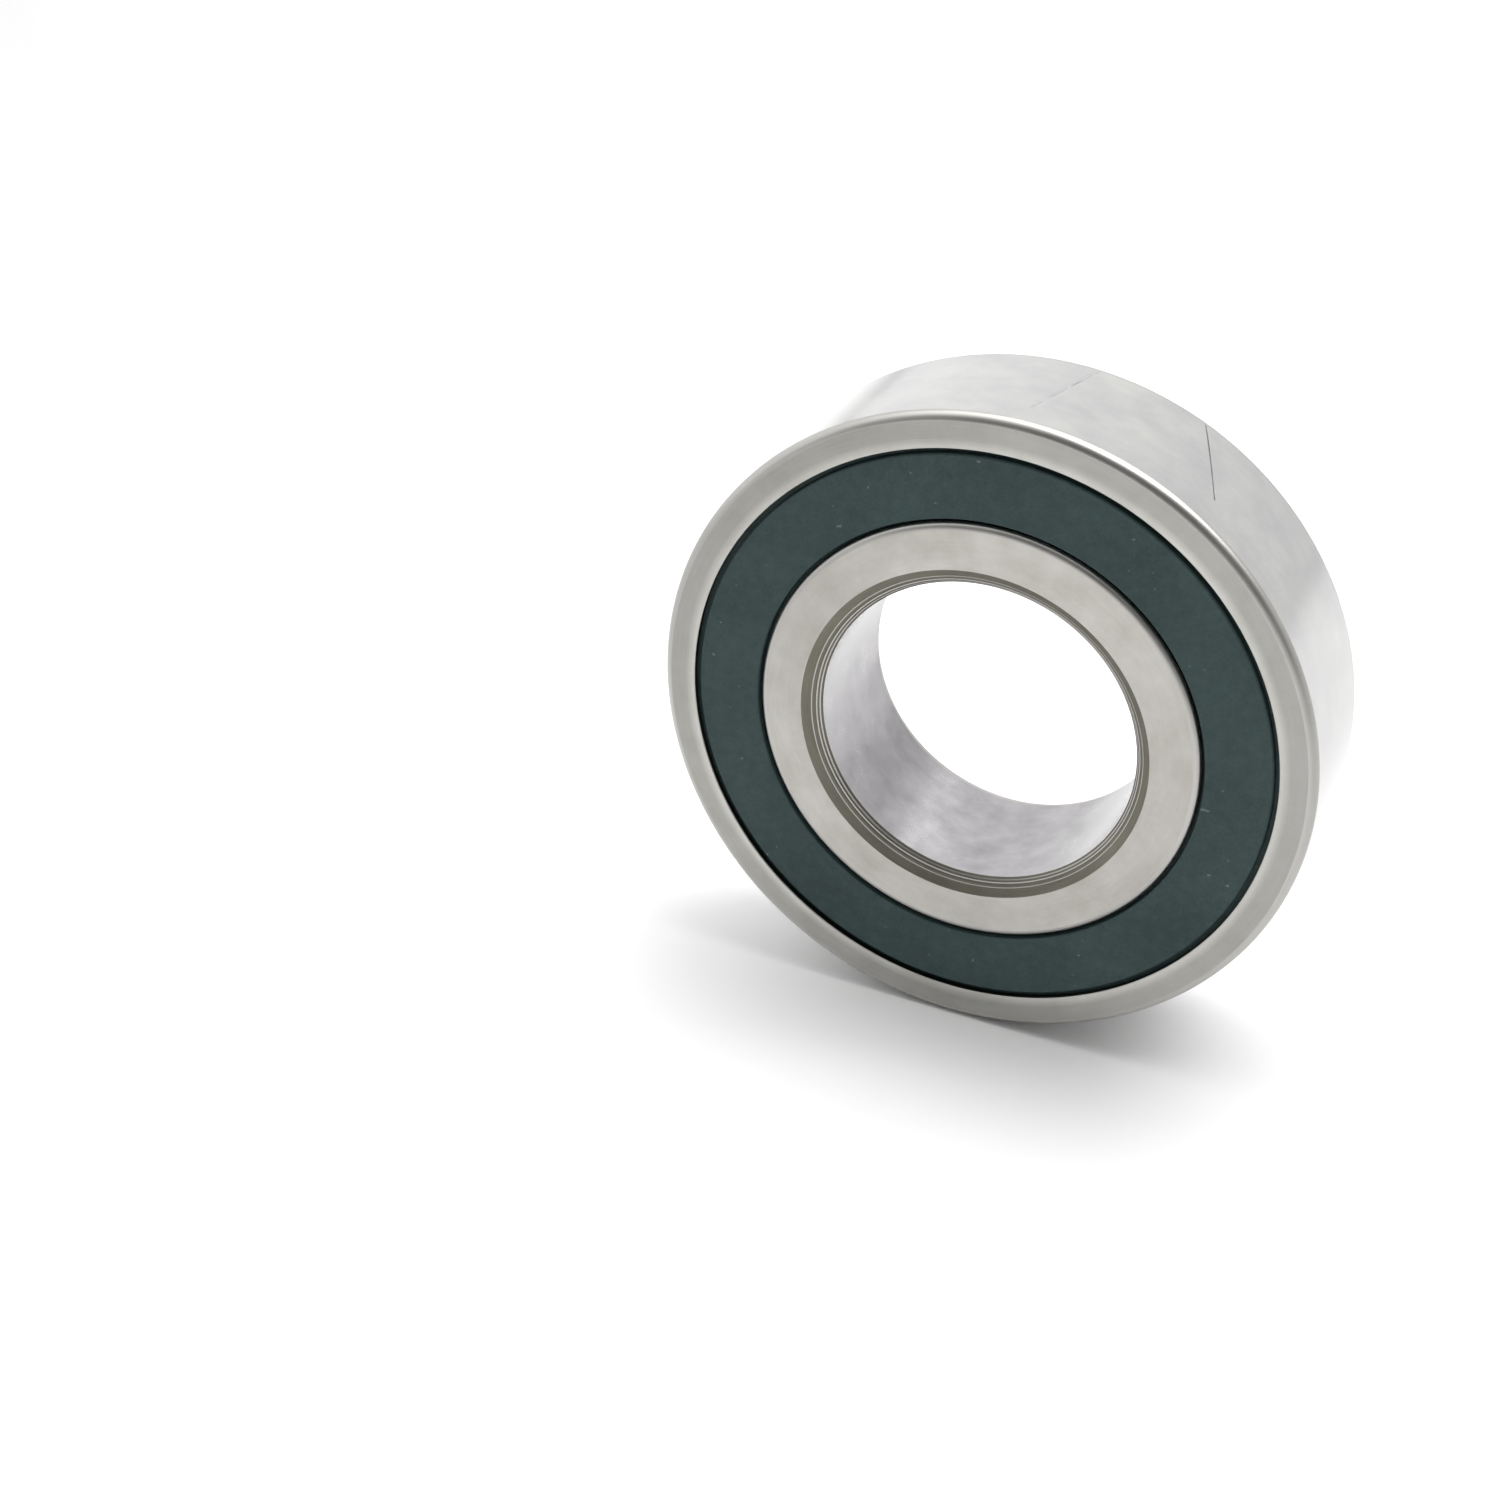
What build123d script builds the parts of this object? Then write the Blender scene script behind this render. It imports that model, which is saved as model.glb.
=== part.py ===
from build123d import *
import os
from math import cos, pi, radians, sin

# Single-row angular contact ball bearing, 30 x 62 x 16 mm, sealed at both faces.
# Frame: the rings turn about +Y, +Z is up, and the origin is the bearing's centre.
# The front face looks towards -Y.  Sections are drawn on the XY plane, with x as
# the radius and y as the place along the axis, and are revolved about the Y axis.

# ---- boundary dimensions, mm ----
bore_radius = 15.0
outside_radius = 31.0
half_width = 8.0
outside_corner = 0.9
rear_bore_corner = 1.2
front_bevel_radius = 16.63
front_bevel_depth = 0.98
bevel_break_radius = 15.75
bevel_break_depth = 0.46
bevel_offset = 0.235
bevel_widest_angle = radians(212.0)

# ---- balls and raceways ----
ball_radius = 9.525 / 2
ball_count = 13
pitch_radius = 23.0
contact_angle = radians(15.0)
groove_radius = 5.0
ball_play = 0.01
first_ball_angle = 90.0

# ---- outer ring ----
outer_face_radius = 27.77
outer_edge_chamfer = 0.12
high_shoulder_radius = 25.9
relief_radius = 27.4
bead_groove_radius = 28.35
bead_groove_front = 7.35
bead_groove_back = 6.35

# ---- inner ring ----
land_radius = 20.95
front_land_corner = 0.65
rear_land_corner = 0.3
lip_groove_radius = 20.4
lip_groove_front = 7.15
lip_groove_back = 6.2

# ---- seals and their steel inserts ----
seal_face = 7.85
seal_inside_radius = 21.25
seal_plate_radius = 27.3
seal_back = 6.9
bead_radius = 28.3
bead_front = 7.2
bead_round = 0.25
lip_radius = 20.65
lip_back = 6.45
insert_inside_radius = 21.95
insert_outside_radius = 27.05
insert_gap = 0.05

# ---- cage ----
cage_inside_radius = 22.0
cage_outside_radius = 25.55
cage_half_width = 5.8
cage_chamfer = 0.4
pocket_play = 0.2

# ---- V mark scribed on the outside, which shows how a matched pair is stacked ----
mark_rear_angles = (radians(63.3), radians(82.6))
mark_front_angles = (radians(55.4), radians(86.9))
mark_rear = 7.0
mark_front = -3.0
mark_width = 0.16
mark_depth = 0.05

# Each raceway's groove centre lies on the contact line through the ball's centre.
groove_offset = groove_radius - ball_radius - ball_play
groove_shift_radial = groove_offset * cos(contact_angle)
groove_shift_axial = groove_offset * sin(contact_angle)

os.makedirs("parts", exist_ok=True)


# Slabs that follow the two legs of the V, standing on the ring's outside.
with BuildPart() as mark_slabs:
    for rear_angle, front_angle in zip(mark_rear_angles, mark_front_angles):
        leg_angle = (rear_angle + front_angle) / 2
        outward = Vector(cos(leg_angle), 0, sin(leg_angle))
        around = Vector(-sin(leg_angle), 0, cos(leg_angle))
        middle = outward * outside_radius + Vector(0, (mark_rear + mark_front) / 2, 0)
        slant = (front_angle - rear_angle) * outside_radius
        along = around * slant + Vector(0, mark_front - mark_rear, 0)
        with Locations(Plane(origin=middle, x_dir=along, z_dir=outward)):
            Box(along.length, mark_width, 2.0)

# The same legs cut down to a thin shell, so that the scribed lines have an even depth.
with BuildPart() as mark_cutter:
    with BuildSketch(Plane.XY):
        with Locations((outside_radius, 0)):
            Rectangle(2 * mark_depth, 2 * half_width)
    revolve(axis=Axis.Y)
    add(mark_slabs.part, mode=Mode.INTERSECT)


# Outer ring: high shoulder at the rear, relieved shoulder at the front, and a
# groove for a seal's bead just inside each face.
with BuildPart() as outer_ring:
    with BuildSketch(Plane.XY) as outer_section:
        with BuildLine():
            Polyline(
                (outer_face_radius, -half_width),
                (outside_radius, -half_width),
                (outside_radius, half_width),
                (outer_face_radius, half_width),
                (outer_face_radius, bead_groove_front),
                (bead_groove_radius, bead_groove_front),
                (bead_groove_radius, bead_groove_back),
                (high_shoulder_radius, bead_groove_back),
                (high_shoulder_radius, 0),
                (relief_radius, 0),
                (relief_radius, -bead_groove_back),
                (bead_groove_radius, -bead_groove_back),
                (bead_groove_radius, -bead_groove_front),
                (outer_face_radius, -bead_groove_front),
                close=True,
            )
        make_face()
        fillet(outer_section.vertices().group_by(Axis.X)[-1], outside_corner)
        face_edges = outer_section.vertices().filter_by(
            lambda corner: abs(corner.X - outer_face_radius) < 0.01 and abs(corner.Y) > half_width - 0.01
        )
        chamfer(face_edges, outer_edge_chamfer)
        with Locations((pitch_radius - groove_shift_radial, -groove_shift_axial)):
            Circle(groove_radius, mode=Mode.SUBTRACT)
    revolve(axis=Axis.Y)
    add(mark_cutter.part, mode=Mode.SUBTRACT)
outer_ring.part.label = "outer_ring"
export_step(outer_ring.part, "parts/outer_ring.step")


# Inner ring: equal shoulders, a shallow groove at each end for a seal's lip, and at
# the front of the bore a turned bevel that runs a little off the ground bore's centre.
bevel_centre = (bevel_offset * cos(bevel_widest_angle), 0, bevel_offset * sin(bevel_widest_angle))
with BuildPart() as inner_ring:
    with BuildSketch(Plane.XY) as inner_section:
        with BuildLine():
            Polyline(
                (bore_radius, -half_width),
                (land_radius, -half_width),
                (land_radius, -lip_groove_front),
                (lip_groove_radius, -lip_groove_front),
                (lip_groove_radius, -lip_groove_back),
                (land_radius, -lip_groove_back),
                (land_radius, lip_groove_back),
                (lip_groove_radius, lip_groove_back),
                (lip_groove_radius, lip_groove_front),
                (land_radius, lip_groove_front),
                (land_radius, half_width),
                (bore_radius, half_width),
                close=True,
            )
        make_face()
        fillet(inner_section.vertices().group_by(Axis.X)[0].sort_by(Axis.Y)[-1], rear_bore_corner)
        land_edges = inner_section.vertices().filter_by(
            lambda corner: abs(corner.X - land_radius) < 0.01 and abs(corner.Y) > half_width - 0.01
        )
        fillet(land_edges.sort_by(Axis.Y)[0], front_land_corner)
        fillet(land_edges.sort_by(Axis.Y)[-1], rear_land_corner)
        with Locations((pitch_radius + groove_shift_radial, groove_shift_axial)):
            Circle(groove_radius, mode=Mode.SUBTRACT)
    revolve(axis=Axis.Y)
    with BuildSketch(Plane(origin=bevel_centre, x_dir=(1, 0, 0), z_dir=(0, 0, 1))):
        with BuildLine():
            Polyline(
                (0, -half_width - 1),
                (front_bevel_radius, -half_width - 1),
                (front_bevel_radius, -half_width),
                (bevel_break_radius, bevel_break_depth - half_width),
                (bore_radius, front_bevel_depth - half_width),
                (0, front_bevel_depth - half_width),
                close=True,
            )
        make_face()
    revolve(axis=Axis(bevel_centre, (0, 1, 0)), mode=Mode.SUBTRACT)
inner_ring.part.label = "inner_ring"
export_step(inner_ring.part, "parts/inner_ring.step")


# Seals: a flat rubber plate, a bead that snaps into the outer ring's groove and a
# lip that reaches into the inner ring's groove without touching it.
for name, side in (("front_seal", -1), ("rear_seal", 1)):
    with BuildPart() as seal:
        with BuildSketch(Plane.XY) as seal_section:
            with BuildLine():
                Polyline(
                    (seal_inside_radius, side * seal_face),
                    (seal_plate_radius, side * seal_face),
                    (seal_plate_radius, side * bead_front),
                    (bead_radius, side * bead_front),
                    (bead_radius, side * bead_groove_back),
                    (insert_outside_radius + insert_gap, side * bead_groove_back),
                    (insert_outside_radius + insert_gap, side * seal_back),
                    (insert_inside_radius - insert_gap, side * seal_back),
                    (insert_inside_radius - insert_gap, side * lip_back),
                    (lip_radius, side * lip_back),
                    (lip_radius, side * seal_back),
                    (seal_inside_radius, side * seal_back),
                    close=True,
                )
            make_face()
            fillet(seal_section.vertices().group_by(Axis.X)[-1], bead_round)
        revolve(axis=Axis.Y)
    seal.part.label = name
    export_step(seal.part, f"parts/{name}.step")


# Seal inserts: flat steel washers bonded to the back of the rubber plate.
for name, side in (("front_seal_insert", -1), ("rear_seal_insert", 1)):
    with BuildPart() as insert:
        with BuildSketch(Plane.XZ.offset(-side * lip_back)):
            Circle(insert_outside_radius)
            Circle(insert_inside_radius, mode=Mode.SUBTRACT)
        extrude(amount=-side * (seal_back - lip_back))
    insert.part.label = name
    export_step(insert.part, f"parts/{name}.step")


# Cage: one ring with a radial pocket for each ball, guided by the high shoulder.
with BuildPart(Plane.XZ) as cage:
    with BuildSketch(Plane.XY) as cage_section:
        with Locations(((cage_inside_radius + cage_outside_radius) / 2, 0)):
            Rectangle(cage_outside_radius - cage_inside_radius, 2 * cage_half_width)
        chamfer(cage_section.vertices(), cage_chamfer)
    revolve(axis=Axis.Y)
    with PolarLocations(pitch_radius, ball_count, start_angle=first_ball_angle):
        Cylinder(
            ball_radius + pocket_play,
            4 * ball_radius,
            rotation=(0, 90, 0),
            mode=Mode.SUBTRACT,
        )
cage.part.label = "cage"
export_step(cage.part, "parts/cage.step")


# Balls, evenly spaced round the pitch circle.
for index in range(ball_count):
    angle = radians(first_ball_angle) + index * 2 * pi / ball_count
    name = f"ball_{index + 1:02d}"
    with BuildPart() as ball:
        with Locations((pitch_radius * cos(angle), 0, pitch_radius * sin(angle))):
            Sphere(ball_radius)
    ball.part.label = name
    export_step(ball.part, f"parts/{name}.step")
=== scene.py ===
import math

import bmesh
import bpy
import numpy as np
from mathutils import Matrix, Vector


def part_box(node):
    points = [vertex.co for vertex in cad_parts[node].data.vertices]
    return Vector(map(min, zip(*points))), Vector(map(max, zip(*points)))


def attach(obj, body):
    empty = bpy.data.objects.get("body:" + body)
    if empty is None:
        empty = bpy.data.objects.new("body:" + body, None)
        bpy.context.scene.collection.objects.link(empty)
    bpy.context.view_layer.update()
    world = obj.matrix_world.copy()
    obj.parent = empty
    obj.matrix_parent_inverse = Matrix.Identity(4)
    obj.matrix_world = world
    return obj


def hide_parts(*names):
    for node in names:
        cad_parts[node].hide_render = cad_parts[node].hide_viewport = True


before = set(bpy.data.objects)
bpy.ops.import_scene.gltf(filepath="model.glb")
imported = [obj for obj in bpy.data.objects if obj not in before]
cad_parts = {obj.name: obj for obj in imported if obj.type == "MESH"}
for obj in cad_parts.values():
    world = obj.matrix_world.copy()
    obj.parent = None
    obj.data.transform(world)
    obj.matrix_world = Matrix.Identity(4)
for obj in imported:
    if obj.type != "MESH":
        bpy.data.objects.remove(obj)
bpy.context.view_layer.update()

# ---------------------------------------------------------------- sizes, metres
# A ring's section is drawn in radii from the Y axis and places along it.
MM = 0.001
OUTER_LOW, OUTER_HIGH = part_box("outer_ring")
OUTSIDE = (OUTER_HIGH.x - OUTER_LOW.x) / 2
HALF_WIDTH = OUTER_HIGH.y
FLOOR = OUTER_LOW.z

BORE = 15.0 * MM
PITCH = 23.0 * MM                        # radius of the circle through the balls' centres
BALL = 9.525 / 2 * MM
BALL_PLAY = 0.01 * MM
RACEWAY = 5.0 * MM                       # radius of a raceway's groove
GROOVE_OFFSET = RACEWAY - BALL - BALL_PLAY
CONTACT_ANGLE = math.radians(15.0)

COLUMNS = 480                            # steps round a full turn
ARC_STEPS = 6                            # steps round a softened corner
LAND_STEPS = 8                           # steps round a corner of the inner ring's land
CORNER_STEPS = 12                        # steps round a large corner
RACEWAY_STEPS = 40                       # steps across a raceway
SHARP_ANGLE = math.radians(40)           # edges that turn by more than this stay crisp

# A zone is a kind of surface, and its number is its place in the ring's list of
# materials.  The seat is the outer ring's outside or the inner ring's bore.
SEAT_ZONE, FACE_ZONE, CORNER_ZONE, GROOVE_ZONE, RACEWAY_ZONE = range(5)
RIGHT_LEG_ZONE, LEFT_LEG_ZONE = 5, 6     # on the outer ring only
BEVEL_ZONE = 5                           # on the inner ring only


# ---------------------------------------------------------------- outlines
def rounded(corners):
    """A closed outline through (radius, axial, rounding, zone) corners, and its points' zones.

    A corner's arc and the stretch from it to the next corner are in the corner's zone."""
    points, zones = [], []
    for i, (radius, axial, rounding, zone) in enumerate(corners):
        here = Vector((radius, axial))
        if rounding == 0:
            points.append(tuple(here))
            zones.append(zone)
            continue
        before = (Vector(corners[i - 1][:2]) - here).normalized()
        after = (Vector(corners[(i + 1) % len(corners)][:2]) - here).normalized()
        half = before.angle(after) / 2
        reach = rounding / math.tan(half)
        start = here + before * reach
        centre = here + (before + after).normalized() * (rounding / math.sin(half))
        turn = (start - centre).angle_signed(here + after * reach - centre)
        for step in range(ARC_STEPS + 1):
            arm = start - centre
            arm.rotate(Matrix.Rotation(-turn * step / ARC_STEPS, 2))
            points.append(tuple(centre + arm))
            zones.append(zone)
    return points, zones


def arc(centre_radius, centre_axial, radius, start, end, steps, zone, next_zone):
    """Corners on an arc between two angles in degrees, the last one in the next zone."""
    corners = []
    for angle in np.radians(np.linspace(start, end, steps + 1)):
        place = (centre_radius + radius * math.cos(angle), centre_axial + radius * math.sin(angle))
        corners.append((*place, 0, zone))
    corners[-1] = (*corners[-1][:3], next_zone)
    return corners


# ---------------------------------------------------------------- lathed meshes
def even_angles(axial):
    """Angles of the columns where nothing is drawn on the surface."""
    return np.arange(COLUMNS) * 2 * math.pi / COLUMNS


def no_depths(radius, axial):
    """How far each column lies inside the outline, where nothing is cut into the surface."""
    return np.zeros(COLUMNS)


def plain_band(zone, axial):
    """The material of each column in a band, where nothing is drawn on the surface."""
    return [zone] * COLUMNS


def smooth_surface(piece):
    """Smooth shading with crisp corners, and flat faces that stay flat."""
    mesh = piece.data
    work = bmesh.new()
    work.from_mesh(mesh)
    bmesh.ops.recalc_face_normals(work, faces=work.faces)
    work.to_mesh(mesh)
    work.free()
    mesh.shade_smooth()
    mesh.set_sharp_from_angle(angle=SHARP_ANGLE)
    weights = piece.modifiers.new("face_weights", "WEIGHTED_NORMAL")
    weights.keep_sharp = True
    weights.weight = 90


def lathe(name, corners, materials, angles_of=even_angles, depths_of=no_depths, band_of=plain_band):
    """Turns an outline of rounded corners about the Y axis into one closed mesh."""
    outline, zones = rounded(corners)
    rows = len(outline)
    places = np.zeros((rows, COLUMNS, 3))
    for i, (radius, axial) in enumerate(outline):
        angles = angles_of(axial)
        radii = radius - depths_of(radius, axial)
        places[i, :, 0] = radii * np.cos(angles)
        places[i, :, 1] = axial
        places[i, :, 2] = radii * np.sin(angles)
    row = np.arange(rows * COLUMNS).reshape(rows, COLUMNS)
    next_row = np.roll(row, -1, axis=0)
    quads = np.stack([row, np.roll(row, -1, axis=1), np.roll(next_row, -1, axis=1), next_row], axis=-1)
    mesh = bpy.data.meshes.new(name)
    mesh.from_pydata(places.reshape(-1, 3).tolist(), [], quads.reshape(-1, 4).tolist())
    for material in materials:
        mesh.materials.append(material)
    bands = []
    for i, zone in enumerate(zones):
        middle = (outline[i][1] + outline[(i + 1) % rows][1]) / 2
        bands += band_of(zone, middle)
    mesh.polygons.foreach_set("material_index", bands)
    piece = bpy.data.objects.new(name, mesh)
    bpy.context.scene.collection.objects.link(piece)
    smooth_surface(piece)
    return piece


def stands_for(piece, node, body):
    """Hides the CAD node that a piece stands for, and hangs the piece on the body it rides on."""
    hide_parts(node)
    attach(piece, body)


# ---------------------------------------------------------------- material helpers
def new_material(name):
    """A material with nodes, its tree and its shader."""
    material = bpy.data.materials.new(name)
    material.use_nodes = True
    tree = material.node_tree
    return material, tree, tree.nodes["Principled BSDF"]


def connect(tree, value, socket):
    """Links an output to a socket, or sets a plain number on it."""
    if isinstance(value, (int, float)):
        socket.default_value = value
    else:
        tree.links.new(value, socket)


def maths(tree, operation, *values):
    """One operation on outputs or plain numbers."""
    node = tree.nodes.new("ShaderNodeMath")
    node.operation = operation
    for socket, value in zip(node.inputs, values):
        connect(tree, value, socket)
    return node.outputs[0]


def weighted(tree, *pairs):
    """The sum of outputs, each times its weight."""
    total = None
    for output, weight in pairs:
        term = maths(tree, "MULTIPLY", output, weight)
        total = term if total is None else maths(tree, "ADD", total, term)
    return total


def object_place(tree):
    """The place on the object, in metres."""
    return tree.nodes.new("ShaderNodeTexCoord").outputs["Object"]


def place_parts(tree, place):
    """The X, Y and Z of a place or a direction."""
    node = tree.nodes.new("ShaderNodeSeparateXYZ")
    connect(tree, place, node.inputs[0])
    return node.outputs


def axis_distance(tree, parts):
    """How far a place is from the Y axis."""
    square_x = maths(tree, "MULTIPLY", parts["X"], parts["X"])
    square_z = maths(tree, "MULTIPLY", parts["Z"], parts["Z"])
    return maths(tree, "SQRT", maths(tree, "ADD", square_x, square_z))


def turned_place(tree, around, across):
    """Coordinates that run slowly round the axis and fast across it, as turning marks do."""
    parts = place_parts(tree, object_place(tree))
    radius = axis_distance(tree, parts)
    joined = tree.nodes.new("ShaderNodeCombineXYZ")
    for socket, part in zip(joined.inputs, (parts["X"], parts["Z"])):
        connect(tree, maths(tree, "MULTIPLY", maths(tree, "DIVIDE", part, radius), around), socket)
    connect(tree, weighted(tree, (radius, across), (parts["Y"], across)), joined.inputs["Z"])
    return joined.outputs[0]


def noise(tree, place, scale, detail=2.0, roughness=0.5):
    """Cloudy noise from 0 to 1."""
    node = tree.nodes.new("ShaderNodeTexNoise")
    connect(tree, place, node.inputs["Vector"])
    node.inputs["Scale"].default_value = scale
    node.inputs["Detail"].default_value = detail
    node.inputs["Roughness"].default_value = roughness
    return node.outputs["Fac"]


def ramp(tree, factor, low, high, first, last):
    """The first colour below low, the last above high, and a straight mix between them."""
    node = tree.nodes.new("ShaderNodeValToRGB")
    connect(tree, factor, node.inputs[0])
    for stop, place, colour in zip(node.color_ramp.elements, (low, high), (first, last)):
        stop.position = place
        stop.color = (*colour, 1.0)
    return node.outputs[0]


def span(tree, factor, low, high, start=0.0, end=1.0):
    """Carries a factor that runs from start to end over to low to high."""
    node = tree.nodes.new("ShaderNodeMapRange")
    connect(tree, factor, node.inputs["Value"])
    node.inputs["From Min"].default_value = start
    node.inputs["From Max"].default_value = end
    node.inputs["To Min"].default_value = low
    node.inputs["To Max"].default_value = high
    return node.outputs["Result"]


def dress(tree, shader, colour, roughness):
    """Gives the shader its colour and its roughness."""
    connect(tree, colour, shader.inputs["Base Color"])
    connect(tree, roughness, shader.inputs["Roughness"])


def relief(tree, shader, height, strength, distance):
    """Raises the surface in the shading only, by a height of 0 to 1 times the distance."""
    node = tree.nodes.new("ShaderNodeBump")
    node.inputs["Strength"].default_value = strength
    node.inputs["Distance"].default_value = distance
    connect(tree, height, node.inputs["Height"])
    connect(tree, node.outputs[0], shader.inputs["Normal"])


# ---------------------------------------------------------------- materials
MARK_RELIEF = 0.02 * MM                  # height of the steel's finest marks
GRAIN_RELIEF = 0.03 * MM                 # height of the rubber's and the resin's grain
PAINTED_SHEEN_START = 28.05 * MM                   # painted sheen: the outer ring's face is painted brighter out to here
PAINTED_SHEEN_END = 28.75 * MM                     # and the painted sheen has faded out here


def ground_steel(name, dark, light, gloss, lines, marks, bump, anisotropy, metallic=1.0, painted_sheen=1.0):
    """Bearing steel with marks round the axis and a faint cloud, in its colour and gloss.

    gloss is the range of its roughness and lines is how close the marks are.  marks is
    their share, the cloud has the rest, and bump raises the finest of them.  painted_sheen is
    how much brighter the steel is painted at the outer ring's inner edge, as a painted sheen."""
    material, tree, shader = new_material(name)
    fine_place = turned_place(tree, around=6.0, across=lines)
    broad_place = turned_place(tree, around=1.5, across=lines / 12)
    fine = noise(tree, fine_place, scale=1.0, detail=4.0, roughness=0.65)
    broad = noise(tree, broad_place, scale=1.0)
    cloud = noise(tree, object_place(tree), scale=230.0, detail=4.0, roughness=0.6)
    mixed = weighted(tree, (fine, marks / 2), (broad, marks / 2), (cloud, 1.0 - marks))
    radius = axis_distance(tree, place_parts(tree, object_place(tree)))
    # Painted sheen: the colour is scaled brighter near the outer ring's inner edge.
    sheen_colour = tree.nodes.new("ShaderNodeVectorMath")
    sheen_colour.operation = "SCALE"
    connect(tree, ramp(tree, mixed, 0.32, 0.68, dark, light), sheen_colour.inputs["Vector"])
    connect(tree, span(tree, radius, painted_sheen, 1.0, start=PAINTED_SHEEN_START, end=PAINTED_SHEEN_END), sheen_colour.inputs["Scale"])
    dress(tree, shader, sheen_colour.outputs[0], span(tree, mixed, *gloss, start=0.3, end=0.7))
    shader.inputs["Metallic"].default_value = metallic
    shader.inputs["Anisotropic"].default_value = anisotropy
    tangent = tree.nodes.new("ShaderNodeTangent")
    tangent.direction_type = "RADIAL"
    tangent.axis = "Y"
    connect(tree, tangent.outputs[0], shader.inputs["Tangent"])
    relief(tree, shader, fine, bump, MARK_RELIEF)
    return material


def painted_shade_groove_steel():
    """The unlit walls of the seal grooves: turned and oxidised steel, painted near black as painted
    shade for the deep gaps.
    """
    material, tree, shader = new_material("groove_steel_painted_shade")
    shade_streaks = noise(tree, turned_place(tree, around=3.0, across=4000.0), scale=1.0, detail=3.0)
    # Painted shade: a near-black colour that stands in for the shade in the deep seal gaps.
    colour = ramp(tree, shade_streaks, 0.3, 0.7, (0.006, 0.007, 0.006), (0.016, 0.018, 0.016))
    dress(tree, shader, colour, span(tree, shade_streaks, 0.45, 0.6))
    shader.inputs["Specular IOR Level"].default_value = 0.1
    return material


def scribed_line(name, dark, light):
    """A leg of the V mark: oxide at the bottom of a fine line, uneven along its length."""
    material, tree, shader = new_material(name)
    wear = noise(tree, object_place(tree), scale=700.0, detail=3.0)
    dress(tree, shader, ramp(tree, wear, 0.35, 0.7, dark, light), span(tree, wear, 0.45, 0.65))
    shader.inputs["Metallic"].default_value = 0.8
    return material


def seal_rubber():
    """Dark green moulded nitrile: matte and finely mottled, with a few pale specks of dust."""
    material, tree, shader = new_material("seal_rubber_green")
    place = object_place(tree)
    grain = noise(tree, place, scale=3600.0, detail=4.0, roughness=0.6)
    mottle = noise(tree, place, scale=900.0, detail=3.0)
    cloud = noise(tree, place, scale=90.0)
    dust = noise(tree, place, scale=1700.0, detail=0.0)
    mixed = weighted(tree, (grain, 0.35), (mottle, 0.3), (cloud, 0.35))
    speck = tree.nodes.new("ShaderNodeMix")
    speck.data_type = "RGBA"
    connect(tree, span(tree, dust, 0.0, 0.5, start=0.83, end=0.88), speck.inputs["Factor"])
    green = ramp(tree, mixed, 0.36, 0.64, (0.024, 0.045, 0.045), (0.047, 0.080, 0.078))
    connect(tree, green, speck.inputs["A"])
    speck.inputs["B"].default_value = (0.20, 0.24, 0.23, 1.0)
    dress(tree, shader, speck.outputs["Result"], span(tree, grain, 0.5, 0.7, start=0.3, end=0.7))
    shader.inputs["Specular IOR Level"].default_value = 0.28
    relief(tree, shader, weighted(tree, (grain, 0.6), (mottle, 0.4)), 0.4, GRAIN_RELIEF)
    return material


def cage_resin():
    """Machined fabric-reinforced resin: brown, with the cloth's weave just showing."""
    material, tree, shader = new_material("cage_resin_brown")
    place = object_place(tree)
    weave = tree.nodes.new("ShaderNodeTexWave")
    connect(tree, place, weave.inputs["Vector"])
    weave.inputs["Scale"].default_value = 420.0
    weave.inputs["Distortion"].default_value = 1.5
    grain = noise(tree, place, scale=2600.0, detail=3.0)
    mixed = weighted(tree, (weave.outputs["Fac"], 0.4), (grain, 0.6))
    brown = ramp(tree, mixed, 0.25, 0.8, (0.14, 0.065, 0.025), (0.30, 0.16, 0.07))
    dress(tree, shader, brown, span(tree, grain, 0.45, 0.65))
    relief(tree, shader, mixed, 0.3, GRAIN_RELIEF)
    return material


def ball_steel():
    """Lapped and polished steel, with hardly a mark."""
    material, tree, shader = new_material("ball_steel_polished")
    haze = noise(tree, object_place(tree), scale=900.0, detail=3.0)
    colour = ramp(tree, haze, 0.3, 0.7, (0.60, 0.60, 0.60), (0.68, 0.68, 0.68))
    dress(tree, shader, colour, span(tree, haze, 0.04, 0.09))
    shader.inputs["Metallic"].default_value = 1.0
    return material


def insert_steel():
    """Cold-rolled sheet: even grey, with the rolling direction just visible."""
    material, tree, shader = new_material("insert_steel_rolled")
    stretch = tree.nodes.new("ShaderNodeMapping")
    stretch.inputs["Scale"].default_value = (1.0, 1.0, 18.0)
    connect(tree, object_place(tree), stretch.inputs["Vector"])
    rolled = noise(tree, stretch.outputs[0], scale=240.0, detail=4.0)
    colour = ramp(tree, rolled, 0.3, 0.7, (0.30, 0.30, 0.29), (0.42, 0.42, 0.41))
    dress(tree, shader, colour, span(tree, rolled, 0.3, 0.45))
    shader.inputs["Metallic"].default_value = 1.0
    return material


OUTSIDE_STEEL = ground_steel(
    "outside_ground_steel", dark=(0.55, 0.55, 0.565), light=(0.665, 0.66, 0.635),
    gloss=(0.13, 0.20), lines=4000.0, marks=0.25, bump=0.04, anisotropy=0.2)
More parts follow.
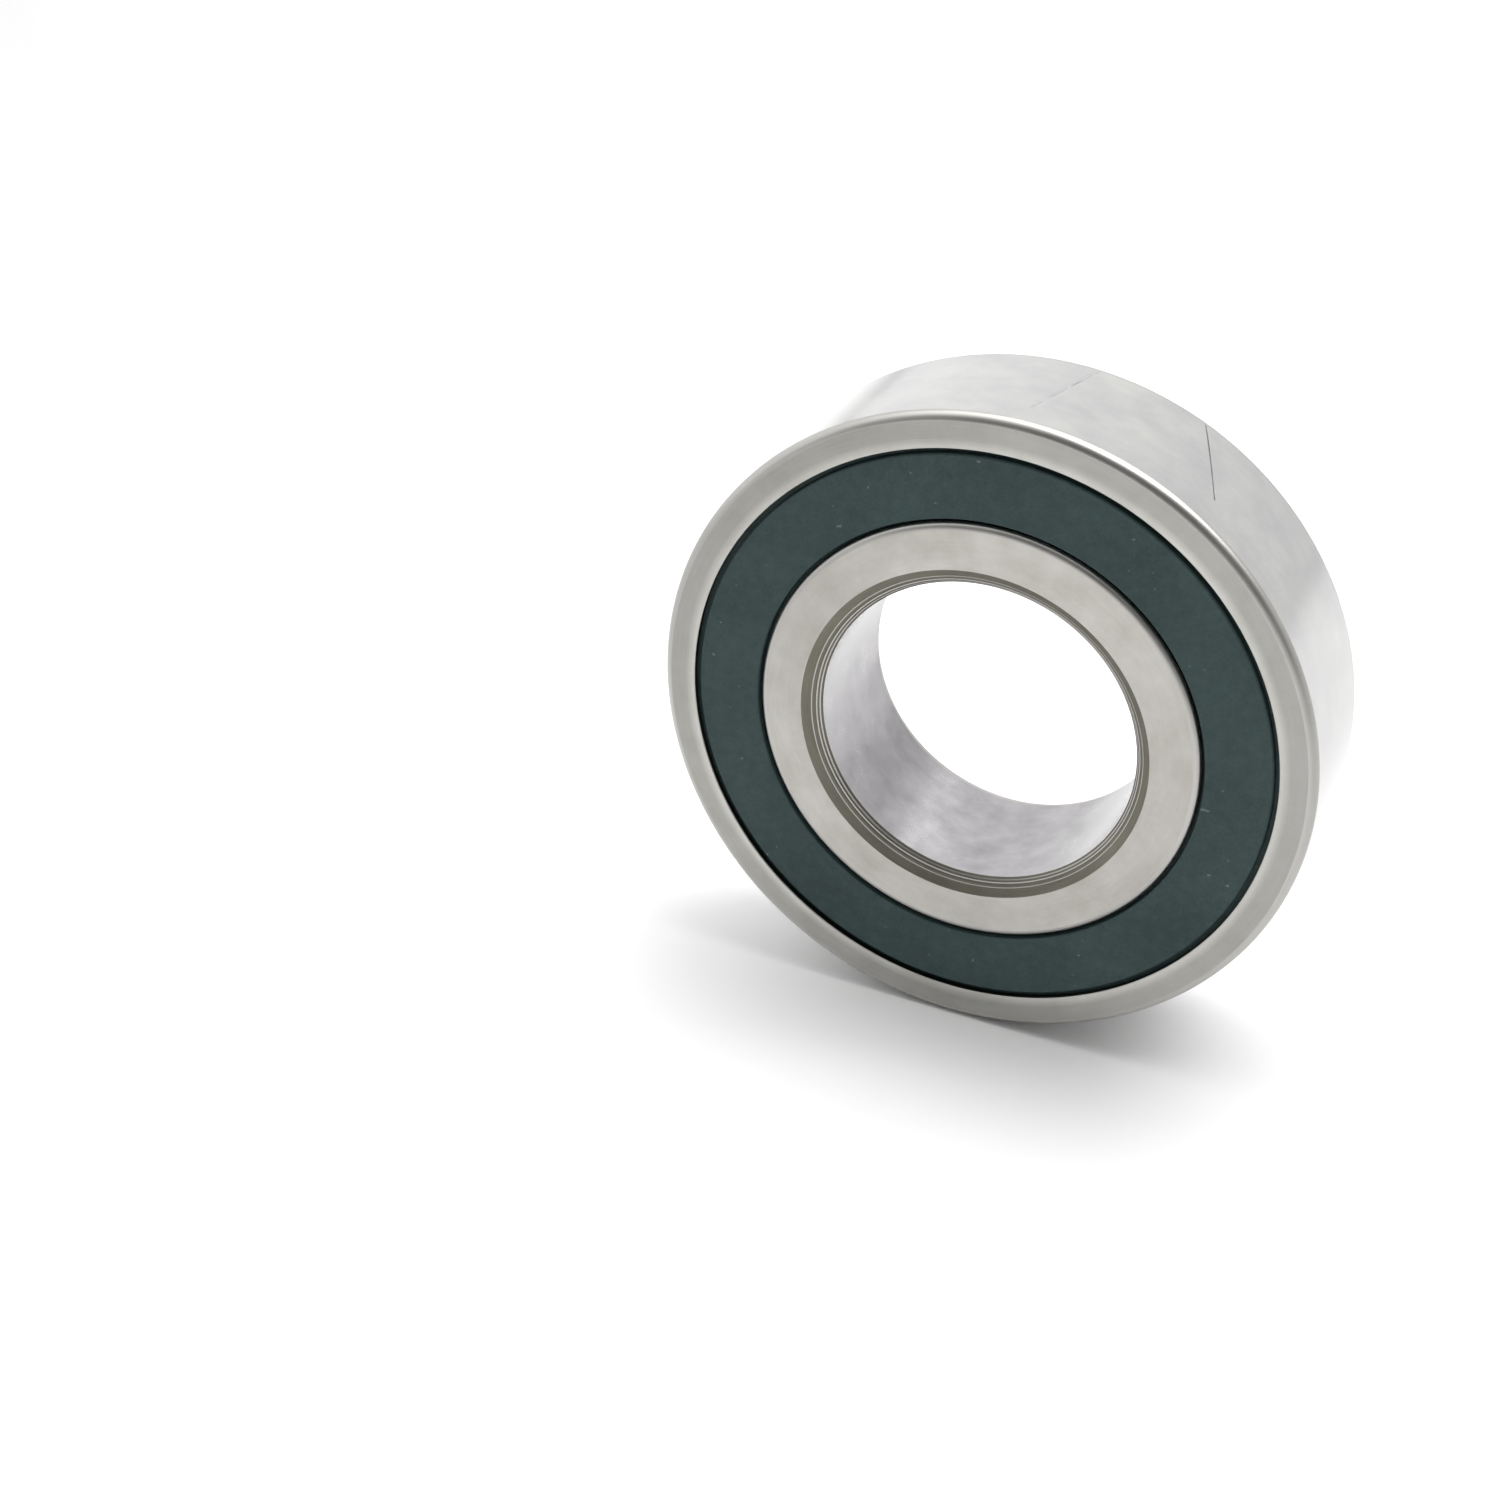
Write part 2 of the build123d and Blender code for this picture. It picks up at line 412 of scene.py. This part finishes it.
# The outer face carries a painted sheen, brighter near its inner edge.
OUTER_FACE_STEEL = ground_steel(
    "outer_face_ground_steel", dark=(0.335, 0.33, 0.305), light=(0.465, 0.46, 0.44),
    gloss=(0.42, 0.54), lines=7000.0, marks=0.5, bump=0.25, anisotropy=0.5, painted_sheen=1.38)
INNER_FACE_STEEL = ground_steel(
    "inner_face_ground_steel", dark=(0.40, 0.385, 0.345), light=(0.61, 0.595, 0.57),
    gloss=(0.40, 0.54), lines=7000.0, marks=0.4, bump=0.25, anisotropy=0.5)
BORE_STEEL = ground_steel(
    "bore_ground_steel", dark=(0.335, 0.325, 0.335), light=(0.49, 0.48, 0.49),
    gloss=(0.20, 0.30), lines=2500.0, marks=0.2, bump=0.05, anisotropy=0.2)
CORNER_STEEL = ground_steel(
    "corner_turned_steel", dark=(0.40, 0.39, 0.37), light=(0.50, 0.49, 0.47),
    gloss=(0.32, 0.42), lines=12000.0, marks=0.7, bump=0.15, anisotropy=0.3)
OLIVE_STEEL = ground_steel(
    "bore_corner_turned_steel", dark=(0.125, 0.118, 0.09), light=(0.22, 0.21, 0.17),
    gloss=(0.40, 0.52), lines=16000.0, marks=0.7, bump=0.4, anisotropy=0.3, metallic=0.6)
RACEWAY_STEEL = ground_steel(
    "raceway_honed_steel", dark=(0.55, 0.55, 0.54), light=(0.65, 0.65, 0.64),
    gloss=(0.08, 0.16), lines=15000.0, marks=0.5, bump=0.1, anisotropy=0.3)
GROOVE_SHADE_STEEL = painted_shade_groove_steel()
DEEP_LINE = scribed_line("scribed_line_deep", dark=(0.10, 0.095, 0.09), light=(0.20, 0.195, 0.185))
FAINT_LINE = scribed_line("scribed_line_faint", dark=(0.30, 0.30, 0.31), light=(0.43, 0.43, 0.43))
SEAL_RUBBER = seal_rubber()
CAGE_RESIN = cage_resin()
BALL_STEEL = ball_steel()
INSERT_STEEL = insert_steel()

# ---------------------------------------------------------------- outer ring
OUTSIDE_CORNER = 0.9 * MM
CORNER_CUT = 8.0                         # degrees of the corner's arc that the ground face cuts off
FACE_INSIDE = 27.77 * MM
FACE_EDGE = 0.12 * MM
SHOULDER = 25.9 * MM
RELIEF = 27.4 * MM
BEAD_GROOVE = 28.35 * MM
BEAD_FRONT = 7.35 * MM
BEAD_BACK = 6.35 * MM
OUTER_SOFTENING = 0.1 * MM

# The V mark's two legs: each a fine line across the outside, which fades out at its front end.
RIGHT_LEG_REAR = math.radians(63.3)
RIGHT_LEG_FRONT = math.radians(54.5)
LEFT_LEG_REAR = math.radians(82.6)
LEFT_LEG_FRONT = math.radians(87.4)
MARK_REAR = 7.0 * MM
MARK_FRONT = -4.2 * MM
RIGHT_LEG_END = -3.0 * MM
MARK_FADE = 1.5 * MM
RIGHT_LEG_HALF_WIDTH = 0.08 * MM
LEFT_LEG_HALF_WIDTH = 0.13 * MM
RIGHT_LEG_DEPTH = 0.05 * MM
LEFT_LEG_DEPTH = 0.02 * MM
MARK_ROWS = 24                           # rows along the mark
MARK_STEPS = 4                           # columns across one scribed line
INSIDE_STEPS = 30                        # columns between the two lines
LEFT_LEG_COLUMN = MARK_STEPS + INSIDE_STEPS
TOLERANCE = 0.001 * MM


def clamp(share):
    """A share kept between 0 and 1."""
    return min(max(share, 0.0), 1.0)


def mark_angles(axial):
    """Column angles that follow the two legs of the V mark, starting with the right one."""
    along = clamp((MARK_REAR - axial) / (MARK_REAR - MARK_FRONT))
    right = RIGHT_LEG_REAR + (RIGHT_LEG_FRONT - RIGHT_LEG_REAR) * along
    left = LEFT_LEG_REAR + (LEFT_LEG_FRONT - LEFT_LEG_REAR) * along
    fine = RIGHT_LEG_HALF_WIDTH / OUTSIDE
    wide = LEFT_LEG_HALF_WIDTH / OUTSIDE
    rest = COLUMNS - 2 * MARK_STEPS - INSIDE_STEPS
    runs = [np.linspace(right - fine, right + fine, MARK_STEPS + 1)[:-1],
            np.linspace(right + fine, left - wide, INSIDE_STEPS + 1)[:-1],
            np.linspace(left - wide, left + wide, MARK_STEPS + 1)[:-1],
            np.linspace(left + wide, right - fine + 2 * math.pi, rest + 1)[:-1]]
    return np.concatenate(runs)


def mark_depths(radius, axial):
    """How far each column lies below the outside: a shallow round-bottomed groove at each line."""
    depths = np.zeros(COLUMNS)
    if radius < OUTSIDE - TOLERANCE or not MARK_FRONT < axial < MARK_REAR:
        return depths
    hollow = np.sin(np.linspace(0, math.pi, MARK_STEPS + 1))
    right_depth = RIGHT_LEG_DEPTH * clamp((axial - RIGHT_LEG_END) / MARK_FADE)
    left_depth = LEFT_LEG_DEPTH * clamp((axial - MARK_FRONT) / MARK_FADE)
    depths[:MARK_STEPS + 1] = right_depth * hollow
    depths[LEFT_LEG_COLUMN:LEFT_LEG_COLUMN + MARK_STEPS + 1] = left_depth * hollow
    return depths


def mark_band(zone, axial):
    """The material of each column in a band, with the scribed lines drawn on the outside."""
    band = plain_band(zone, axial)
    if zone == SEAT_ZONE and MARK_FRONT < axial < MARK_REAR:
        if axial > RIGHT_LEG_END:
            band[:MARK_STEPS] = [RIGHT_LEG_ZONE] * MARK_STEPS
        band[LEFT_LEG_COLUMN:LEFT_LEG_COLUMN + MARK_STEPS] = [LEFT_LEG_ZONE] * MARK_STEPS
    return band


def build_outer_ring():
    """The outer ring: a high shoulder at the rear, a relieved one in front, and the V mark."""
    groove_radius = PITCH - GROOVE_OFFSET * math.cos(CONTACT_ANGLE)
    groove_axial = -GROOVE_OFFSET * math.sin(CONTACT_ANGLE)
    rear_end = math.degrees(math.acos((SHOULDER - groove_radius) / RACEWAY))
    front_end = -math.degrees(math.acos((RELIEF - groove_radius) / RACEWAY))
    corner_radius = OUTSIDE - OUTSIDE_CORNER
    corner_axial = HALF_WIDTH - OUTSIDE_CORNER * math.cos(math.radians(CORNER_CUT))
    soft = OUTER_SOFTENING
    corners = arc(corner_radius, -corner_axial, OUTSIDE_CORNER, CORNER_CUT - 90, 0, CORNER_STEPS,
                  CORNER_ZONE, SEAT_ZONE)
    for axial in np.linspace(MARK_FRONT, MARK_REAR, MARK_ROWS):
        corners.append((OUTSIDE, axial, 0, SEAT_ZONE))
    corners += arc(corner_radius, corner_axial, OUTSIDE_CORNER, 0, 90 - CORNER_CUT, CORNER_STEPS,
                   CORNER_ZONE, FACE_ZONE)
    corners += [(FACE_INSIDE, HALF_WIDTH, FACE_EDGE, GROOVE_ZONE),
                (FACE_INSIDE, BEAD_FRONT, soft, GROOVE_ZONE),
                (BEAD_GROOVE, BEAD_FRONT, soft, GROOVE_ZONE),
                (BEAD_GROOVE, BEAD_BACK, soft, GROOVE_ZONE),
                (SHOULDER, BEAD_BACK, soft, RACEWAY_ZONE)]
    corners += arc(groove_radius, groove_axial, RACEWAY, rear_end, front_end, RACEWAY_STEPS,
                   RACEWAY_ZONE, RACEWAY_ZONE)
    corners += [(RELIEF, -BEAD_BACK, soft, RACEWAY_ZONE),
                (BEAD_GROOVE, -BEAD_BACK, soft, GROOVE_ZONE),
                (BEAD_GROOVE, -BEAD_FRONT, soft, GROOVE_ZONE),
                (FACE_INSIDE, -BEAD_FRONT, soft, GROOVE_ZONE),
                (FACE_INSIDE, -HALF_WIDTH, FACE_EDGE, FACE_ZONE)]
    materials = [OUTSIDE_STEEL, OUTER_FACE_STEEL, CORNER_STEEL, GROOVE_SHADE_STEEL, RACEWAY_STEEL,
                 DEEP_LINE, FAINT_LINE]
    piece = lathe("outer_ring_ground", corners, materials, mark_angles, mark_depths, mark_band)
    stands_for(piece, "outer_ring", "outer")


# ---------------------------------------------------------------- inner ring
LAND = 20.95 * MM
LAND_CORNER = 0.65 * MM
REAR_LAND_CORNER = 0.3 * MM
LIP_GROOVE = 20.4 * MM
LIP_FRONT = 7.15 * MM
LIP_BACK = 6.2 * MM
REAR_BORE_CORNER = 1.2 * MM
INNER_SOFTENING = 0.08 * MM

# The front bore corner: a turned lead-in whose ridges have worn bright, then a shallow
# bevel up to the face.  The bevel runs off centre and is widest at the lower left.
LEAD_IN = 0.98 * MM                      # depth below the face, where it meets the bore
LEAD_IN_EDGE = 0.06 * MM
RIDGE_EDGE = 0.03 * MM
BEVEL = 16.87 * MM                       # radius of its edge on the face, where it is widest
BEVEL_EDGE = 0.05 * MM
BEVEL_OFFSET = 0.235 * MM
BEVEL_WIDEST = math.radians(212.0)
BEVEL_MARGIN = 0.1 * MM

# Points of the ridges, in mm outside the bore and mm below the face.
RIDGES = [(0.17, 0.84, CORNER_ZONE), (0.29, 0.78, BEVEL_ZONE),
          (0.45, 0.65, CORNER_ZONE), (0.57, 0.62, BEVEL_ZONE), (0.73, 0.51, BEVEL_ZONE),
          (0.91, 0.44, CORNER_ZONE), (1.00, 0.41, BEVEL_ZONE)]


def bevel_depths(radius, axial):
    """Lets the front bore corner run off centre, the more so the further it is from the bore."""
    if axial > LEAD_IN + BEVEL_MARGIN - HALF_WIDTH or radius > BEVEL + BEVEL_MARGIN:
        return np.zeros(COLUMNS)
    share = (radius - BORE) / (BEVEL - BORE)
    return share * BEVEL_OFFSET * (1.0 - np.cos(even_angles(axial) - BEVEL_WIDEST))


def build_inner_ring():
    """The inner ring: equal shoulders, a groove for each seal's lip and the front bevel."""
    groove_radius = PITCH + GROOVE_OFFSET * math.cos(CONTACT_ANGLE)
    groove_axial = GROOVE_OFFSET * math.sin(CONTACT_ANGLE)
    reach = math.degrees(math.acos((groove_radius - LAND) / RACEWAY))
    soft = INNER_SOFTENING
    corners = [(BORE, LEAD_IN - HALF_WIDTH, LEAD_IN_EDGE, BEVEL_ZONE)]
    for outward, depth, zone in RIDGES:
        corners.append((BORE + outward * MM, depth * MM - HALF_WIDTH, RIDGE_EDGE, zone))
    corners.append((BEVEL, -HALF_WIDTH, BEVEL_EDGE, FACE_ZONE))
    corners += arc(LAND - LAND_CORNER, LAND_CORNER - HALF_WIDTH, LAND_CORNER, -90, 0, LAND_STEPS,
                   CORNER_ZONE, GROOVE_ZONE)
    corners += [(LAND, -LIP_FRONT, soft, GROOVE_ZONE),
                (LIP_GROOVE, -LIP_FRONT, soft, GROOVE_ZONE),
                (LIP_GROOVE, -LIP_BACK, soft, GROOVE_ZONE),
                (LAND, -LIP_BACK, soft, RACEWAY_ZONE)]
    corners += arc(groove_radius, groove_axial, RACEWAY, 180 + reach, 180 - reach, RACEWAY_STEPS,
                   RACEWAY_ZONE, RACEWAY_ZONE)
    corners += [(LAND, LIP_BACK, soft, GROOVE_ZONE),
                (LIP_GROOVE, LIP_BACK, soft, GROOVE_ZONE),
                (LIP_GROOVE, LIP_FRONT, soft, GROOVE_ZONE),
                (LAND, LIP_FRONT, soft, GROOVE_ZONE)]
    corners += arc(LAND - REAR_LAND_CORNER, HALF_WIDTH - REAR_LAND_CORNER, REAR_LAND_CORNER,
                   0, 90, LAND_STEPS, CORNER_ZONE, FACE_ZONE)
    corners += arc(BORE + REAR_BORE_CORNER, HALF_WIDTH - REAR_BORE_CORNER, REAR_BORE_CORNER,
                   90, 180, CORNER_STEPS, CORNER_ZONE, SEAT_ZONE)
    materials = [BORE_STEEL, INNER_FACE_STEEL, CORNER_STEEL, GROOVE_SHADE_STEEL, RACEWAY_STEEL, OLIVE_STEEL]
    piece = lathe("inner_ring_ground", corners, materials, depths_of=bevel_depths)
    stands_for(piece, "inner_ring", "inner")


# ---------------------------------------------------------------- seals
SEAL_FACE = 7.85 * MM
SEAL_INSIDE = 21.25 * MM
SEAL_INSIDE_EDGE = 0.15 * MM
SEAL_PLATE = 27.3 * MM
SEAL_PLATE_EDGE = 0.25 * MM
SEAL_BACK = 6.9 * MM
BEAD = 28.3 * MM
BEAD_TOP = 7.2 * MM
BEAD_EDGE = 0.25 * MM
LIP_TIP = 20.65 * MM
LIP_REAR = 6.45 * MM
RECESS_INSIDE = 21.9 * MM                # the recess at the back that holds the steel insert
RECESS_OUTSIDE = 27.1 * MM
SEAL_SOFTENING = 0.1 * MM


def build_seal(name, node, side):
    """A seal at the front, side -1, or at the rear, side 1."""
    soft = SEAL_SOFTENING
    section = [(SEAL_INSIDE, SEAL_FACE, SEAL_INSIDE_EDGE),
               (SEAL_PLATE, SEAL_FACE, SEAL_PLATE_EDGE),
               (SEAL_PLATE, BEAD_TOP, soft),
               (BEAD, BEAD_TOP, BEAD_EDGE),
               (BEAD, BEAD_BACK, BEAD_EDGE),
               (RECESS_OUTSIDE, BEAD_BACK, soft),
               (RECESS_OUTSIDE, SEAL_BACK, soft),
               (RECESS_INSIDE, SEAL_BACK, soft),
               (RECESS_INSIDE, LIP_REAR, soft),
               (LIP_TIP, LIP_REAR, soft),
               (LIP_TIP, SEAL_BACK, soft),
               (SEAL_INSIDE, SEAL_BACK, soft)]
    corners = [(radius, side * axial, rounding, 0) for radius, axial, rounding in section]
    piece = lathe(name, corners, [SEAL_RUBBER])
    stands_for(piece, node, "outer")


build_outer_ring()
build_inner_ring()
build_seal("front_seal_rubber", "front_seal", -1)
build_seal("rear_seal_rubber", "rear_seal", 1)


# ---------------------------------------------------------------- pieces that keep their CAD shape
def paint(node, material):
    """Gives a CAD node's object one material."""
    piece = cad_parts[node]
    piece.data.materials.clear()
    piece.data.materials.append(material)


paint("cage", CAGE_RESIN)
for node in ("front_seal_insert", "rear_seal_insert"):
    paint(node, INSERT_STEEL)
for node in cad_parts:
    if node.startswith("ball_"):
        paint(node, BALL_STEEL)


# ---------------------------------------------------------------- floor
FLOOR_REACH = 3.0
PALE_FLOOR = (0.92, 0.92, 0.92)
# The grey is painted shade, to both sides of a band of light painted on the floor.
FLOOR_PAINTED_SHADE = (0.68, 0.68, 0.68)
PAINTED_LIGHT_BAND_ACROSS = (0.82, 0.57)               # X and Y of the direction across the painted band of light
PAINTED_LIGHT_BAND_WANDER = 0.048                      # how far the cloud moves the painted band of light
PAINTED_LIGHT_BAND_EDGES = (0.02, 0.10)                # the painted shade starts and is full this far from the band's middle


def build_floor():
    """A pale floor with a band of light painted under the bearing, and painted shade greying it to
    both sides.
    """
    material, tree, shader = new_material("floor_pale_painted_light_band")
    parts = place_parts(tree, object_place(tree))
    cloud = noise(tree, object_place(tree), scale=6.0)
    across = weighted(tree, (parts["X"], PAINTED_LIGHT_BAND_ACROSS[0]), (parts["Y"], PAINTED_LIGHT_BAND_ACROSS[1]),
                      (cloud, PAINTED_LIGHT_BAND_WANDER))
    # Painted light: pale in a band under the bearing, with painted shade greying the floor to both
    # sides.
    colour = ramp(tree, maths(tree, "ABSOLUTE", across), *PAINTED_LIGHT_BAND_EDGES, PALE_FLOOR, FLOOR_PAINTED_SHADE)
    dress(tree, shader, colour, 0.6)
    shader.inputs["Specular IOR Level"].default_value = 0.2
    mesh = bpy.data.meshes.new("floor")
    signs = ((-1, -1), (1, -1), (1, 1), (-1, 1))
    mesh.from_pydata([(x * FLOOR_REACH, y * FLOOR_REACH, FLOOR) for x, y in signs], [], [(0, 1, 2, 3)])
    mesh.materials.append(material)
    floor = bpy.data.objects.new("floor", mesh)
    bpy.context.scene.collection.objects.link(floor)


# ---------------------------------------------------------------- light
WALLS = 1.0                              # brightness of the walls, midway between left and right
SIDE_SLOPE = 0.32                        # how much brighter the left wall is, and darker the right
OVERHEAD = 1.3                           # what the ceiling adds to the walls' brightness
CEILING_EDGES = (0.62, 0.92)             # the ceiling starts and is full at these heights
BLACK_FLAG = Vector((0.30, -0.86, 0.42)).normalized()
FLAG_STRENGTH = 0.84                     # the share of the light that the flag takes
FLAG_EDGES = (0.30, 0.70)                # cosines from its middle, where it starts and is full
FLAG_FOOT = (0.04, 0.16)                 # heights where it starts and is full


def build_world():
    """Pale walls, a bright ceiling, and a soft black flag in front, above the horizon."""
    world = bpy.data.worlds.new("studio")
    bpy.context.scene.world = world
    world.use_nodes = True
    tree = world.node_tree
    background = tree.nodes["Background"]
    background.inputs["Color"].default_value = (1.0, 1.0, 1.0, 1.0)
    direction = tree.nodes.new("ShaderNodeTexCoord").outputs["Generated"]
    parts = place_parts(tree, direction)
    nearness = tree.nodes.new("ShaderNodeVectorMath")
    nearness.operation = "DOT_PRODUCT"
    connect(tree, direction, nearness.inputs[0])
    nearness.inputs[1].default_value = BLACK_FLAG
    flag = span(tree, nearness.outputs["Value"], 0.0, FLAG_STRENGTH, *FLAG_EDGES)
    flag = maths(tree, "MULTIPLY", flag, span(tree, parts["Z"], 0.0, 1.0, *FLAG_FOOT))
    walls = span(tree, parts["X"], WALLS + SIDE_SLOPE, WALLS - SIDE_SLOPE, start=-1.0)
    ceiling = span(tree, parts["Z"], 0.0, OVERHEAD, *CEILING_EDGES)
    open_part = maths(tree, "SUBTRACT", 1.0, flag)
    bright = maths(tree, "MULTIPLY", maths(tree, "ADD", ceiling, walls), open_part)
    connect(tree, bright, background.inputs["Strength"])


def area_light(name, place, size, power):
    """A square light that looks at the bearing."""
    data = bpy.data.lights.new(name, "AREA")
    data.shape = "SQUARE"
    data.size = size
    data.energy = power
    light = bpy.data.objects.new(name, data)
    light.location = place
    light.rotation_mode = "QUATERNION"
    light.rotation_quaternion = Vector(place).to_track_quat("Z", "Y")
    bpy.context.scene.collection.objects.link(light)


# ---------------------------------------------------------------- camera
CAMERA_PLACE = (0.0522, -0.1786, 0.1048)
CAMERA_BACK = Vector((0.3413, -0.7868, 0.5166)).normalized()
CAMERA_UP = Vector((-0.2355, 0.4581, 0.8558))
LENS_MM = 54.71
SENSOR_MM = 36.0


def build_camera():
    """The camera, with its back and its up direction given rather than an aim."""
    data = bpy.data.cameras.new("camera")
    data.sensor_width = SENSOR_MM
    data.lens = LENS_MM
    data.clip_start = 0.01
    data.clip_end = 20.0
    camera = bpy.data.objects.new("camera", data)
    right = CAMERA_UP.cross(CAMERA_BACK).normalized()
    axes = Matrix((right, CAMERA_BACK.cross(right), CAMERA_BACK)).transposed().to_4x4()
    camera.matrix_world = Matrix.Translation(CAMERA_PLACE) @ axes
    bpy.context.scene.collection.objects.link(camera)
    bpy.context.scene.camera = camera


bpy.context.scene.view_settings.view_transform = "Standard"
build_floor()
build_world()
area_light("key", place=(0.22, 0.20, 0.72), size=0.7, power=4.8)
build_camera()
